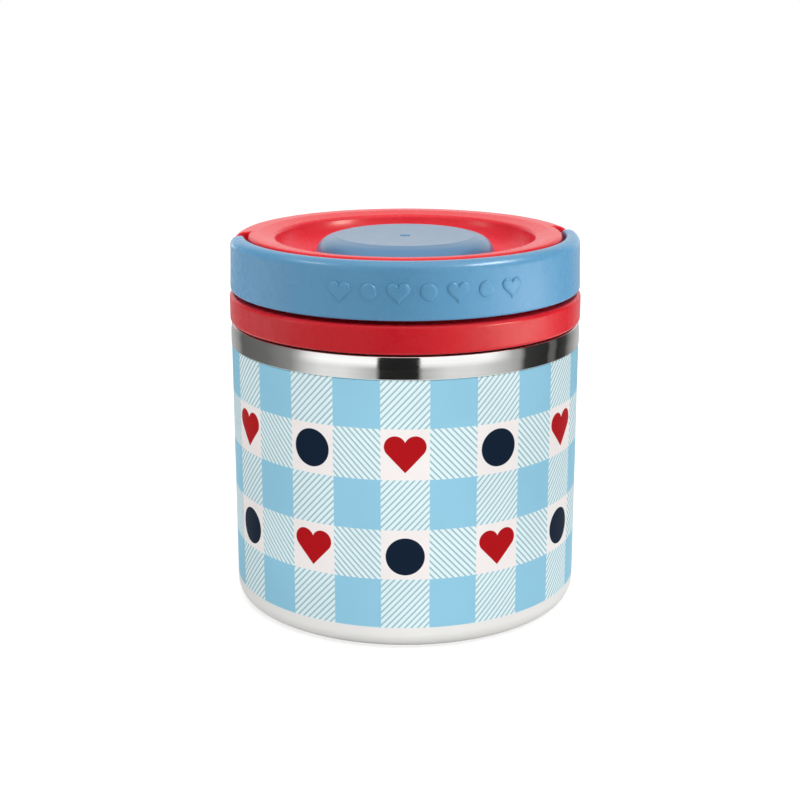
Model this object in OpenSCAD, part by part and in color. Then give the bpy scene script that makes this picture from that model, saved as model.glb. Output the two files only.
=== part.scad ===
// Stackable insulated lunch jar: double-wall steel jar, screw lid, swing handle and press vent.
// Millimetres, +Z up. The jar stands on z = 0 and the middle of its print faces -Y.

/* [Jar] */
// Outer radius of the bare steel jar
jar_r = 52; // [50:0.5:58]
// Height of the jar's shoulder, where the lid's collar begins
jar_h = 85.5; // [65:0.5:130]
// Thickness of the steel sheet
sheet_t = 0.6; // [0.4:0.05:0.8]
// Thickness of the lacquer and print
coat_t = 0.2; // [0.1:0.05:0.4]
// Height of the bare steel band between print and shoulder
band_h = 6.7; // [4:0.1:20]
// How far the bare band stands out past the side below it
band_out = 0.35; // [0.1:0.05:0.45]
// Rounding of the shoulder's edge
shoulder_round = 0.8; // [0.75:0.05:2.5]
// Rounding where the side meets the foot
foot_round = 4.5; // [3:0.1:7]
// Width of the flat ring the jar stands on
foot_w = 4; // [2.5:0.1:6]
// Vacuum gap between the two walls
vacuum_gap = 5.4; // [4:0.1:7]
// How far the foil on the pot stops short of the pot's floor
foil_edge = 6; // [4:0.5:8]

/* [Thread] */
// How far a thread ridge stands out
thread_h = 1.4; // [1.2:0.05:1.6]
// How far one full turn of the lid lifts it
thread_lead = 12; // [11.4:0.1:14]

/* [Lid] */
// How far the collar stands out past the steel
collar_out = 0.5; // [0.3:0.1:1.5]
// Height of the collar
collar_h = 8.1; // [7:0.1:12]
// Gap between the jar's shoulder and the collar
collar_gap = 0.5; // [0.4:0.1:1.5]
// Wall thickness of the lid
lid_wall = 2; // [1.7:0.1:2.2]
// Width of the lid's flat rim with its roundings
rim_w = 8.2; // [7.5:0.1:10]
// How far the rim falls towards the dish
rim_drop = 0.8; // [0.3:0.1:1.2]
// Rounding along the top of the lid's back wall
back_round = 4.5; // [2:0.1:4.6]
// Depth of the dish below the rim
dish_depth = 9.3; // [8.5:0.1:10.5]
// Thickness of the mouth gasket
gasket_t = 1.4; // [1:0.1:2]
// How far the plug reaches down into the mouth
plug_depth = 7; // [6:0.1:12]
// How far the tightened lid stands turned from the print's middle
lid_turn = 7; // [-30:1:30]

/* [Vent] */
// Width of the finger groove between the dish's edge and the button
moat_w = 11.8; // [10.5:0.1:14]
// How far the button sits below the rim
button_drop = 0.7; // [0.3:0.1:1.5]
// How far the button presses down
press = 2.5; // [1.5:0.1:2.8]
// Radius of the vent stem
stem_r = 2.5; // [2:0.1:2.8]

/* [Handle] */
// Height of the handle band
handle_h = 15.9; // [14.5:0.1:17]
// Thickness of the handle band
handle_t = 4.1; // [3.6:0.1:4.6]
// Rounding of the handle's upper outer edge
handle_round = 2.4; // [1:0.1:2.5]
// How much wider the handle is at its lower edge than at its upper one
handle_draft = 0.4; // [0:0.1:0.5]
// Gap between the collar and the handle band
handle_gap = 1.2; // [1:0.1:2.5]
// How far the pivot lies in front of the jar's axis
pivot_front = 1.7; // [0:0.1:2.5]
// How far the pivot lies below the handle's top
pivot_drop = 6.25; // [5.5:0.05:7]
// Radius of the pivot pins
pin_r = 2; // [1.6:0.1:2.2]
// How far the raised motifs stand out of the handle
motif_h = 0.4; // [0.2:0.05:0.6]

/* [Hidden] */
$fn = 96;
starts = 3;
free = 0.3;

// Lid and handle, from the outside in
lid_r = jar_r + collar_out;
collar_z = jar_h + collar_gap;
ledge_z = collar_z + collar_h;
handle_z = ledge_z + handle_gap;
handle_top = handle_z + handle_h;
lid_top = handle_top + 0.1;
handle_mid = handle_z + handle_h / 2;
pivot_z = handle_top - pivot_drop;
handle_r = lid_r - motif_h - 0.3;
handle_in = handle_r - handle_t;
core_r = sqrt(pow(handle_in - free, 2) - pow(lid_top - pivot_z + pivot_front, 2));
core_in = core_r - lid_wall + 0.3;
pad_x = core_r + 0.35;
end_r = pivot_drop;
tail_r = pivot_z - ledge_z - 0.35;
stop_y = end_r - pivot_front + 0.45;
collar_in = lid_r - lid_wall - 0.2;
ledge_under = ledge_z - lid_wall - 0.2;
boss_r = pin_r + 1.1;

// Threaded insert and plug
liner_t = lid_wall - 0.2;
liner_r = core_in - 0.13;
liner_in = liner_r - liner_t - 0.1;
ceil_top = handle_mid - boss_r - 0.05;
ceil_z = ceil_top - liner_t;
mouth_z = ceil_z - gasket_t;
plug_z = mouth_z - plug_depth;
plug_floor = plug_z + liner_t;

// Neck, pot and base
neck_r = liner_in - thread_h - 0.6;
lip_z = mouth_z - sheet_t;
pot_neck = neck_r - sheet_t - 0.3;
plug_r = pot_neck - sheet_t - 0.9;
plug_in = plug_r - liner_t;
pot_r = jar_r - sheet_t - vacuum_gap;
pot_z = 7;
print_top = jar_h - band_h;
foot_x = jar_r - foot_round;
band_r = jar_r + band_out;
band_low = print_top + band_out;
ridge_low = jar_h + 4;
ridge_rise = mouth_z - jar_h - 6;
ridge_turn = 360 * ridge_rise / thread_lead;

// Dish, well and vent
dish_r = core_r - rim_w;
dish_z = lid_top - dish_depth;
button_r = dish_r - moat_w;
well_r = button_r + 0.5;
well_z = dish_z - press - 1;
well_under = well_z - lid_wall;
button_z = dish_z - 0.8;
button_top = lid_top - button_drop;
button_in = button_top - 2.1;
boss_z = button_in - 2.2;
guide_top = boss_z - press - 0.3;
stem_top = button_in - 0.1;
seal_t = 1.8;
clip_t = 0.8;
clip_w = 2.6;
clip_z = plug_z - seal_t - clip_t;
seal_r = stem_r + 5.5;
seal_lip = seal_r - 1;
coil_r = stem_r + 7;
wire_r = 0.5;
dish_fillet = 4.5;
slope = 15;

// Capsule and strap under the pot
getter_x = 20;
getter_r = 5;
getter_h = 2.6;
strap_l = 16;
strap_w = 4;
strap_t = 0.4;
strap_leg = 1;

// Points along an arc in the profile plane
function arc(x, y, r, a0, a1, n) = [
    for (i = [0 : n]) let (a = a0 + (a1 - a0) * i / n) [x + r * cos(a), y + r * sin(a)]
];

// One cross-section of a thread ridge, scaled down to nothing much at both ends
function ridge_ring(i, n, root, tip, z0, turn, from) = let (
    a = from + turn * i / n,
    z = z0 + thread_lead * turn * i / n / 360,
    k = min(1, (i + 0.4) / 2, (n - i + 0.4) / 2),
    r = root + (tip - root) * k,
    hr = 1.1,
    ht = hr - 0.6 * k
) [
    for (p = [[root, -hr], [r, -ht], [r, ht], [root, hr]]) [p[0] * cos(a), p[0] * sin(a), z + p[1]]
];

// A tube of quads through rings of points, closed at both ends
module sweep(rings, flip) {
    n = len(rings);
    m = len(rings[0]);
    points = [for (ring = rings) for (p = ring) p];
    side = [
        for (i = [0 : n - 2]) for (j = [0 : m - 1]) let (k = (j + 1) % m)
            each [[i * m + j, i * m + k, i * m + m + k], [i * m + j, i * m + m + k, i * m + m + j]]
    ];
    cap0 = [for (j = [1 : m - 2]) [0, j + 1, j]];
    cap1 = [for (j = [1 : m - 2]) [(n - 1) * m, (n - 1) * m + j, (n - 1) * m + j + 1]];
    faces = concat(side, cap0, cap1);
    polyhedron(points, flip ? [for (f = faces) [f[2], f[1], f[0]]] : faces);
}

// Equal helical ridges, one for each thread start
module ridges(root, tip, z0, from, flip) {
    n = 22;
    for (s = [0 : starts - 1]) {
        a = from + s * 360 / starts;
        sweep([for (i = [0 : n]) ridge_ring(i, n, root, tip, z0, ridge_turn, a)], flip);
    }
}

// A heart standing on its point
module heart(s) {
    rotate(45) square(s, center = true);
    for (x = [-1, 1]) translate([x * s * sqrt(2) / 4, s * sqrt(2) / 4]) circle(d = s);
}

// A cylinder lying along X on the handle's pivot axis
module on_pivot(x, r, h) {
    translate([x, -pivot_front, pivot_z]) rotate([0, 90, 0]) cylinder(r = r, h = h);
}

// Steel jar with foot ring, side, shoulder and threaded neck
module outer_shell() {
    color([0.75, 0.76, 0.77]) union() {
        rotate_extrude() polygon(concat(
            [[foot_x - foot_w, 0]],
            arc(foot_x, foot_round, foot_round, -90, 0, 9),
            [[jar_r, print_top], [band_r, band_low]],
            arc(band_r - shoulder_round, jar_h - shoulder_round, shoulder_round, 0, 90, 9),
            [[neck_r, jar_h], [neck_r, lip_z], [neck_r - sheet_t, lip_z], [neck_r - sheet_t, jar_h - sheet_t]],
            arc(band_r - shoulder_round, jar_h - shoulder_round, shoulder_round - sheet_t, 90, 0, 9),
            [[band_r - sheet_t, band_low], [jar_r - sheet_t, print_top]],
            arc(foot_x, foot_round, foot_round - sheet_t, 0, -90, 9),
            [[foot_x - foot_w, sheet_t]]
        ));
        ridges(neck_r - 0.2, neck_r + thread_h, ridge_low, 0, false);
    }
}

// White lacquer with the print, on the side and round the foot
module printed_coat() {
    color([0.80, 0.88, 0.93]) rotate_extrude() polygon(concat(
        arc(foot_x, foot_round, foot_round + coat_t, -70, 0, 7),
        [[jar_r + coat_t, print_top], [jar_r, print_top]],
        arc(foot_x, foot_round, foot_round, 0, -70, 7)
    ));
}

// Steel pot for the food, its lip lying on the neck
module inner_pot() {
    cone_z0 = jar_h - 8.5;
    cone_z1 = jar_h - 2.5;
    color([0.80, 0.80, 0.81]) rotate_extrude() polygon(concat(
        [[0, pot_z]],
        arc(pot_r - 4, pot_z + 4, 4, -90, 0, 6),
        [[pot_r, cone_z0], [pot_neck, cone_z1], [pot_neck, lip_z], [neck_r, lip_z], [neck_r, mouth_z]],
        [[pot_neck - sheet_t, mouth_z], [pot_neck - sheet_t, cone_z1 - 0.3], [pot_r - sheet_t, cone_z0 - 0.3]],
        arc(pot_r - 4, pot_z + 4, 4 - sheet_t, 0, -90, 6),
        [[0, pot_z + sheet_t]]
    ));
}

// Foil wrapped on the pot
module radiation_foil() {
    color([0.86, 0.86, 0.87]) difference() {
        translate([0, 0, pot_z + foil_edge]) cylinder(r = pot_r + 0.15, h = jar_h - pot_z - 3 * foil_edge);
        translate([0, 0, pot_z]) cylinder(r = pot_r, h = jar_h);
    }
}

// Disc welded on the foot ring, with a small cup for the sealing bead
module base_plate() {
    cup_r = 6;
    cup_z = 3;
    color([0.72, 0.73, 0.74]) rotate_extrude() polygon([
        [0, cup_z], [cup_r, cup_z], [cup_r, sheet_t], [foot_x - 0.5, sheet_t], [foot_x - 0.5, 2 * sheet_t],
        [cup_r + sheet_t, 2 * sheet_t], [cup_r + sheet_t, cup_z + sheet_t], [0, cup_z + sheet_t]
    ]);
}

// Bead that closes the pumping hole
module sealing_bead() {
    color([0.35, 0.36, 0.38]) translate([0, 0, 1.6]) cylinder(r = 3, h = 1.4);
}

// Capsule that keeps the vacuum clean
module getter() {
    color([0.45, 0.46, 0.48]) translate([getter_x, 0, pot_z - getter_h]) cylinder(r = getter_r, h = getter_h);
}

// Strap that holds the capsule under the pot
module getter_strap() {
    leg_h = getter_h + strap_t;
    color([0.70, 0.70, 0.71]) translate([getter_x - strap_l / 2, -strap_w / 2, pot_z - leg_h]) {
        cube([strap_l, strap_w, strap_t]);
        for (x = [0, strap_l - strap_leg]) translate([x, 0, 0]) cube([strap_leg, strap_w, leg_h]);
    }
}

// Silicone ring between the mouth's lip and the lid
module mouth_gasket() {
    color([0.90, 0.90, 0.88]) translate([0, 0, mouth_z]) difference() {
        cylinder(r = neck_r + 0.5, h = gasket_t);
        translate([0, 0, -1]) cylinder(r = plug_r + free, h = gasket_t + 2);
    }
}

// Profile of the lid's round body: collar, core, rim, dish, button well and stem guide
module lid_profile() {
    fall = 11;
    rim_x = dish_r + 1.2;
    rim_z = lid_top - rim_drop - 1.2 * cos(fall);
    flat_x = rim_x - 1.2 * sin(fall) + rim_drop / tan(fall);
    run = rim_z + 1.2 * sin(180 - slope) - dish_z - dish_fillet * (1 - sin(slope));
    foot = rim_x + 1.2 * cos(180 - slope) - run * tan(slope) - dish_fillet * cos(slope);
    back_r = dish_fillet + lid_wall;
    back_x = foot + back_r * cos(slope);
    back_z = dish_z + dish_fillet - back_r * sin(slope);
    roof = lid_top - lid_wall - 0.2;
    polygon(concat(
        [[collar_in, collar_z]],
        arc(lid_r - 0.8, collar_z + 0.8, 0.8, -90, 0, 4),
        arc(lid_r - 1.2, ledge_z - 1.2, 1.2, 0, 90, 6),
        [[core_r, ledge_z]],
        arc(core_r - 1.3, lid_top - 1.3, 1.3, 0, 90, 6),
        [[flat_x, lid_top]],
        arc(rim_x, rim_z, 1.2, 90 + fall, 180 - slope, 6),
        arc(foot, dish_z + dish_fillet, dish_fillet, -slope, -90, 8),
        [[well_r + 0.4, dish_z], [well_r, dish_z - 0.4], [well_r, well_z], [stem_r + 3, well_z]],
        [[stem_r + 3, guide_top], [stem_r + 0.06, guide_top], [stem_r + 0.06, well_under]],
        [[well_r + lid_wall, well_under], [well_r + lid_wall, dish_z - lid_wall]],
        arc(foot, dish_z + dish_fillet, back_r, -90, -slope, 8),
        [[back_x + (roof - back_z) * tan(slope), roof], [core_in, roof]],
        [[core_in, ledge_under], [collar_in, ledge_under]]
    ));
}

// Back wall that the handle's ends meet, hollow inside
module lid_back() {
    difference() {
        intersection() {
            rotate_extrude() polygon(concat(
                [[core_in + 0.2, ledge_z - 1], [handle_r, ledge_z - 1]],
                arc(handle_r - back_round, lid_top - back_round, back_round, 0, 90, 10),
                [[core_in + 0.2, lid_top]]
            ));
            translate([-lid_r, stop_y, 0]) cube([2 * lid_r, lid_r, lid_top]);
        }
        lid_back_cavity();
    }
}

// Hollow inside the back wall
module lid_back_cavity() {
    intersection() {
        rotate_extrude() translate([core_in - 0.1, ledge_z])
            square([handle_r - lid_wall - core_in, lid_top - ledge_z - 4.5]);
        translate([-lid_r, stop_y + lid_wall, 0]) cube([2 * lid_r, lid_r, lid_top]);
    }
}

// Red lid with collar, handle recess, rim, dish and button well
module lid_shell() {
    color([0.80, 0.13, 0.17]) rotate([0, 0, lid_turn]) difference() {
        union() {
            difference() {
                rotate_extrude() lid_profile();
                lid_back_cavity();
            }
            lid_back();
            rotate_extrude() translate([liner_in - 1.8, ceil_top]) square([1.5, lid_top - ceil_top - 1]);
            for (x = [core_r - 6.2, 0.6 - core_r]) on_pivot(x, boss_r, 5.6);
        }
        for (x = [core_r - 7, -core_r - 1]) on_pivot(x, pin_r + 0.05, 8);
        for (a = [0 : 90 : 270]) rotate([0, 0, a + 45]) translate([stem_r + 4.3, 0, well_under - 1])
            cylinder(r = 0.8, h = lid_wall + 2);
    }
}

// Threaded insert with the plug that closes the mouth
module lid_liner() {
    low = collar_z + 0.6;
    color([0.93, 0.93, 0.92]) rotate([0, 0, lid_turn]) union() {
        rotate_extrude() polygon([
            [liner_in, low], [collar_in - 0.1, low], [collar_in - 0.1, low + 1.6], [liner_r, low + 1.6],
            [liner_r, ceil_top], [plug_in, ceil_top], [plug_in, plug_floor], [stem_r + 1.5, plug_floor],
            [stem_r + 1.5, plug_z], [plug_r, plug_z], [plug_r, ceil_z], [liner_in, ceil_z]
        ]);
        ridges(liner_in + 0.2, liner_in - thread_h, ridge_low - 1.65, -lid_turn, true);
    }
}

// Insulation in the plug
module lid_foam() {
    out = plug_in - 0.3;
    step = well_r + lid_wall + 0.2;
    color([0.95, 0.93, 0.86]) rotate_extrude() polygon([
        [stem_r + 5.5, plug_floor], [out, plug_floor], [out, dish_z - lid_wall], [step, dish_z - lid_wall],
        [step, well_under], [stem_r + 5.5, well_under]
    ]);
}

// Profile of the handle band
module handle_profile() {
    polygon(concat(
        arc(handle_r + handle_draft - 1, handle_z + 1, 1, -90, 0, 5),
        arc(handle_r - handle_round, handle_top - handle_round, handle_round, 0, 90, 6),
        arc(handle_in + 1, handle_top - 1, 1, 90, 180, 5),
        arc(handle_in + 0.8, handle_z + 0.8, 0.8, 180, 270, 4)
    ));
}

// Raised hearts and dots in a row on the front of the handle
module handle_motifs() {
    intersection() {
        for (i = [-3 : 3]) rotate([0, 0, i * 9]) translate([0, 1 - handle_r, handle_mid]) rotate([90, 0, 0])
            linear_extrude(2) {
                if (i % 2 == 0) heart(3.9);
                else circle(d = 4.6);
            }
        cylinder(r = handle_r + handle_draft / 2 + motif_h, h = lid_top);
    }
}

// Half-ring carrying handle, folded round the lid
module handle() {
    color([0.42, 0.60, 0.74]) rotate([0, 0, lid_turn]) difference() {
        union() {
            intersection() {
                rotate_extrude() handle_profile();
                union() {
                    translate([-lid_r, -lid_r, 0]) cube([2 * lid_r, lid_r - pivot_front, lid_top + 1]);
                    on_pivot(-lid_r, end_r, 2 * lid_r);
                    intersection() {
                        on_pivot(-lid_r, tail_r, 2 * lid_r);
                        translate([-lid_r, -pivot_front, 0]) cube([2 * lid_r, end_r, pivot_z]);
                    }
                }
            }
            handle_motifs();
        }
        for (x = [pad_x - 1, 1.7 - handle_r]) on_pivot(x, pin_r, handle_r - pad_x - 0.7);
    }
}

// Pins of the handle's pivot
module handle_pin_left() {
    color([0.72, 0.73, 0.74]) rotate([0, 0, lid_turn]) on_pivot(1.7 - handle_r, pin_r, 8.5);
}

module handle_pin_right() {
    color([0.72, 0.73, 0.74]) rotate([0, 0, lid_turn]) on_pivot(handle_r - 10.2, pin_r, 8.5);
}

// Press button with a hollowed flat top, a slanted ring round it and a small mark in the middle
module vent_button() {
    t = 1.8;
    round_r = 5.5;
    slant = 14;
    lip_r = button_r - 6.2;
    hollow = 0.3;
    side_x = button_r - round_r;
    side_z = button_top - (button_r - lip_r) * tan(slant) - round_r * tan(45 - slant / 2);
    color([0.47, 0.63, 0.77]) rotate_extrude() polygon(concat(
        [[button_r - t, button_z], [button_r, button_z]],
        arc(side_x, side_z, round_r, 0, 90 - slant, 9),
        [for (i = [0 : 5]) let (r = lip_r * (1 - i * 0.18)) [r, button_top - hollow * (1 - pow(r / lip_r, 2))]],
        [[1.6, button_top - hollow - 0.5], [0, button_top - hollow - 0.5]],
        [[0, stem_top], [stem_r, stem_top], [stem_r, boss_z], [stem_r + 2.5, boss_z], [stem_r + 2.5, button_in]],
        [[side_x - 2, button_in]],
        arc(side_x, side_z, round_r - t, 85, 0, 7)
    ));
}

// Rod from the button down through lid and plug
module vent_stem() {
    color([0.85, 0.85, 0.84]) rotate_extrude() polygon([
        [0, clip_z - 0.8], [stem_r, clip_z - 0.8], [stem_r, clip_z], [stem_r - 0.6, clip_z],
        [stem_r - 0.6, clip_z + clip_t], [stem_r, clip_z + clip_t], [stem_r, stem_top], [0, stem_top]
    ]);
}

// Silicone disc that closes the vent from below
module vent_seal() {
    color([0.88, 0.88, 0.86]) rotate_extrude() polygon([
        [stem_r, plug_z - seal_t], [seal_lip, plug_z - seal_t], [seal_r, plug_z - 0.8],
        [seal_r, plug_z], [stem_r, plug_z]
    ]);
}

// Open ring in the stem's groove
module vent_clip() {
    color([0.70, 0.71, 0.72]) translate([0, 0, clip_z]) rotate_extrude(angle = 300)
        translate([stem_r - 0.6, 0]) square([clip_w, clip_t]);
}

// Coil spring round the stem guide
module vent_spring() {
    turns = 5;
    n = turns * 16;
    low = well_z + wire_r;
    rise = button_in - well_z - 2 * wire_r;
    color([0.74, 0.75, 0.76]) sweep([
        for (i = [0 : n]) let (a = 360 * turns * i / n) [
            for (j = [0 : 5]) let (r = coil_r + wire_r * cos(60 * j))
                [r * cos(a), r * sin(a), low + rise * i / n + wire_r * sin(60 * j)]
        ]
    ], false);
}

outer_shell();
printed_coat();
inner_pot();
radiation_foil();
base_plate();
sealing_bead();
getter();
getter_strap();
mouth_gasket();
lid_shell();
lid_liner();
lid_foam();
handle();
handle_pin_left();
handle_pin_right();
vent_button();
vent_stem();
vent_seal();
vent_clip();
vent_spring();
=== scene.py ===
import math

import bmesh
import bpy
from bpy.props import FloatProperty, FloatVectorProperty, IntProperty, PointerProperty
from bpy.types import Operator, Panel, PropertyGroup
from mathutils import Matrix, Vector


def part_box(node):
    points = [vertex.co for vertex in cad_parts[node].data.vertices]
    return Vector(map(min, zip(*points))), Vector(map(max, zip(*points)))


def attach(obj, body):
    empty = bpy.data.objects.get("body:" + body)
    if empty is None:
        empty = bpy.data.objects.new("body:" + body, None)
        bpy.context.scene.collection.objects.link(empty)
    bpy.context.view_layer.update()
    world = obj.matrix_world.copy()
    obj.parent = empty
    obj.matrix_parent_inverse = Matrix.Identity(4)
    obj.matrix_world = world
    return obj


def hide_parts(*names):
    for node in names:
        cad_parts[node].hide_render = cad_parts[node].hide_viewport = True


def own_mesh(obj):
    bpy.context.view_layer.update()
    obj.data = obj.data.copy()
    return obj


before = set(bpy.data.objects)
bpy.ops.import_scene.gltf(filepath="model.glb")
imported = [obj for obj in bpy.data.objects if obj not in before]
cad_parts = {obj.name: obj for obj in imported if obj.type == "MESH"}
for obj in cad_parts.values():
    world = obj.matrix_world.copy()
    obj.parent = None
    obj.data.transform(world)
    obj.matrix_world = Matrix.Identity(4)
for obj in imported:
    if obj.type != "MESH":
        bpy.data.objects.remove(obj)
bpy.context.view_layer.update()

bl_info = {
    "name": "Stackable Lunch Jar",
    "version": (1, 0, 0),
    "blender": (4, 5, 0),
    "location": "View3D > Sidebar > Lunch Jar",
    "description": "Builds a printed steel lunch jar with a screw lid, a swing handle and a press vent",
    "category": "Object",
}

MM = 0.001


# Sizes and colours that a user would change

def srgb(red, green, blue):
    """A colour on the 0 to 255 screen scale as linear light."""
    def linear(value):
        value /= 255
        return value / 12.92 if value <= 0.04045 else ((value + 0.055) / 1.055) ** 2.4
    return linear(red), linear(green), linear(blue)


def number(name, default, description, **kind):
    """A number, with what its kind needs."""
    return FloatProperty(name=name, description=description, default=default, **kind)


def length(name, millimetres, description):
    """A size, given in millimetres and kept in metres."""
    return number(name, millimetres * MM, description, unit="LENGTH", precision=5)


def angle(name, degrees, description):
    """An angle, given in degrees."""
    return number(name, math.radians(degrees), description, unit="ROTATION")


def power(name, watts, description):
    """A lamp's power."""
    return number(name, watts, description, unit="POWER")


def share(name, default, description):
    """A number from 0 to 1."""
    return number(name, default, description, subtype="FACTOR", min=0, max=1)


def count(name, default, description):
    """A number of like things."""
    return IntProperty(name=name, description=description, default=default, min=1)


def colour(name, red, green, blue, description):
    """A colour, given on the 0 to 255 screen scale."""
    return FloatVectorProperty(
        name=name, description=description, default=srgb(red, green, blue), subtype="COLOR", size=3, min=0, max=1)


def corner(node, end, axis):
    """One coordinate of a CAD node's box in millimetres, to the hundredth."""
    return round(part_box(node)[end][axis] / MM, 2)


class JarSizes(PropertyGroup):
    """Sizes of the steel jar and its lacquer."""
    coat_radius: length("Coat radius", 52.2, "Outer radius of the lacquer")
    shell_radius: length("Shell radius", 52.0, "Outer radius of the bare steel")
    sheet: length("Sheet", 0.6, "Thickness of the steel sheet")
    foot_round: length("Foot rounding", 4.5, "Rounding where the side meets the foot")
    foot_width: length("Foot width", 4.0, "Width of the ring that the jar stands on")
    print_top: length("Print top", corner("printed_coat", 1, 2), "Height where the lacquer ends")
    band_radius: length("Band radius", 52.35, "Outer radius of the bare band above the print")
    band_bend: length("Band bend", 14.0, "Radius of the slight crown of the band")
    band_crown: length("Band crown", 3.6, "How far below the shoulder the crown starts")
    shoulder: length("Shoulder", 85.5, "Height of the steel shoulder under the collar")
    lip: length("Lip", corner("outer_shell", 1, 2), "Height of the neck's upper end")
    neck_radius: length("Neck radius", 40.98, "Outer radius of the neck")
    ridge_low: length("Ridge start", 89.5, "Height where a thread ridge starts")
    ridge_rise: length("Ridge rise", 5.4, "How far a thread ridge climbs")
    ridge_turn: angle("Ridge turn", 162, "How far round a thread ridge runs")
    ridge_sink: length("Ridge sink", 0.2, "How far a ridge's middle lies inside the neck's face")
    ridge_depth: length("Ridge depth", 1.55, "Half the width of a thread ridge")
    ridge_half: length("Ridge half height", 1.15, "Half the height of a thread ridge")
    ridge_starts: count("Thread starts", 3, "Number of thread ridges")


class PrintLook(PropertyGroup):
    """Layout and colours of the printed check with hearts and dots."""
    columns: count("Columns", 24, "Check columns round the jar")
    first_row: length("First row", 6.64, "Height where the lowest check row starts")
    row_height: length("Row height", 14.64, "Height of one check row")
    soft: length("Soft edge", 0.06, "Half the width of the print's soft edges")
    hatch_lines: number("Hatch lines", 7.5, "Hatch lines across one column", min=1)
    hatch_rise: length("Hatch rise", 1.95, "Height from one hatch line to the next")
    hatch_share: share("Hatch share", 0.36, "Share of the hatch that is ink")
    heart_lobe: length("Heart lobe", 3.08, "Radius of a heart's two lobes")
    heart_reach: length("Heart reach", 2.82, "Distance of a lobe's middle from the heart's middle")
    heart_tip: angle("Heart tip", 43.1, "Slope of a heart's two sides")
    heart_high: length("High hearts", 63.25, "Height of the tops of the upper hearts")
    heart_low: length("Low hearts", 33.85, "Height of the tops of the lower hearts")
    dot_radius: length("Dot radius", 5.5, "Radius of a printed dot")
    dot_high: length("High dots", 58.0, "Height of the middles of the upper dots")
    dot_low: length("Low dots", 28.1, "Height of the middles of the lower dots")
    sky: colour("Sky blue", 150, 206, 230, "Solid check cells")
    hatch: colour("Hatch blue", 163, 195, 203, "Hatch lines")
    frost: colour("Frost", 230, 248, 252, "Ground of the hatched cells")
    cream: colour("Cream", 248, 242, 240, "Plain cells")
    ground: colour("Ground white", 240, 238, 235, "Lacquer under and beside the print")
    heart: colour("Heart red", 180, 24, 30, "Printed hearts")
    navy: colour("Navy", 22, 36, 54, "Printed dots")


class LidSizes(PropertyGroup):
    """Sizes of the screw lid."""
    turn: angle("Turn", 7, "How far the tightened lid stands turned from the print's middle")
    collar_radius: length("Collar radius", 52.48, "Outer radius of the collar")
    collar_bore: length("Collar bore", 50.3, "Inner radius of the collar")
    collar_low: length("Collar bottom", corner("lid_shell", 0, 2), "Height of the collar's lower edge")
    collar_round: length("Collar rounding", 1.2, "Rounding of the collar's upper edge")
    ledge: length("Ledge", 94.1, "Height of the collar's upper edge")
    top: length("Top", corner("lid_shell", 1, 2), "Height of the rim")
    core_radius: length("Core radius", 46.71, "Radius of the wall behind the handle")
    core_wall: length("Core wall", 1.7, "Thickness of the wall behind the handle")
    brow: length("Brow", 1.3, "Rounding from that wall to the rim")
    back_radius: length("Back radius", 51.8, "Radius of the back wall between the handle's ends")
    back_round: length("Back rounding", 4.5, "Rounding along the top of the back wall")
    stop: length("Stop", 5.0, "How far behind the axis the back wall starts")
    stop_edge: length("Stop edge", 0.5, "Bevel along the edges of the back wall's two ends")
    dish_radius: length("Dish radius", 38.51, "Radius of the dish's edge")
    dish_slope: angle("Dish slope", 9, "Lean of the dish's wall")
    dish_fillet: length("Dish fillet", 8.0, "Rounding between the dish's wall and its floor")
    dish_under: length("Underside fillet", 4.5, "The same rounding on the underside")
    nose: length("Nose", 1.2, "Rounding of the dish's edge")
    rim_drop: length("Rim drop", 0.8, "How far the rim falls towards the dish")
    rim_fall: angle("Rim fall", 11, "Slope of the rim towards the dish")
    rim_round: length("Rim rounding", 3.0, "Rounding where the rim starts to fall")
    roof: length("Roof", 2.2, "Thickness of the rim and of the ledge")
    dish_floor: length("Dish floor", 102.0, "Height of the dish's floor")
    well_radius: length("Well radius", 27.21, "Radius of the button's well")
    well_floor: length("Well floor", 98.5, "Height of the well's floor")
    guide_top: length("Guide top", 103.5, "Height of the stem's guide")
    guide_radius: length("Guide radius", 5.5, "Outer radius of the stem's guide")
    stem_bore: length("Stem bore", 2.56, "Inner radius of the stem's guide")
    pivot_bore: length("Pivot bore", 2.05, "Radius of the bores for the handle's pins")
    wall: length("Wall", 2.0, "Wall thickness")


class HandleSizes(PropertyGroup):
    """Sizes of the swing handle and its raised motifs."""
    outer: length("Outer radius", 51.8, "Outer radius of the band")
    inner: length("Inner radius", 47.7, "Inner radius of the band")
    low: length("Bottom", corner("handle", 0, 2), "Height of the band's lower edge")
    high: length("Top", corner("handle", 1, 2), "Height of the band's upper edge")
    pivot_front: length("Pivot", 1.7, "How far the pivot lies in front of the axis")
    pivot_drop: length("Pivot drop", 6.25, "How far the pivot lies below the band's top")
    tail: length("Tail", 10.5, "Reach of the ends' lower corners from the pivot")
    draft: length("Draft", 0.4, "How much wider the band is at its lower edge than at its upper one")
    round_top: length("Top rounding", 2.4, "Rounding of the upper outer edge")
    round_low: length("Lower rounding", 0.8, "Rounding of the lower outer edge")
    inner_top: length("Inner top rounding", 1.0, "Rounding of the upper inner edge")
    inner_low: length("Inner lower rounding", 0.8, "Rounding of the lower inner edge")
    motifs: count("Motifs", 7, "Raised hearts and dots in the row")
    motif_step: angle("Motif step", 9, "Angle from one raised motif to the next")
    motif_size: length("Motif size", 6.4, "Width of a raised heart")
    motif_rise: length("Motif rise", 0.4, "How far the motifs stand out")


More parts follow.
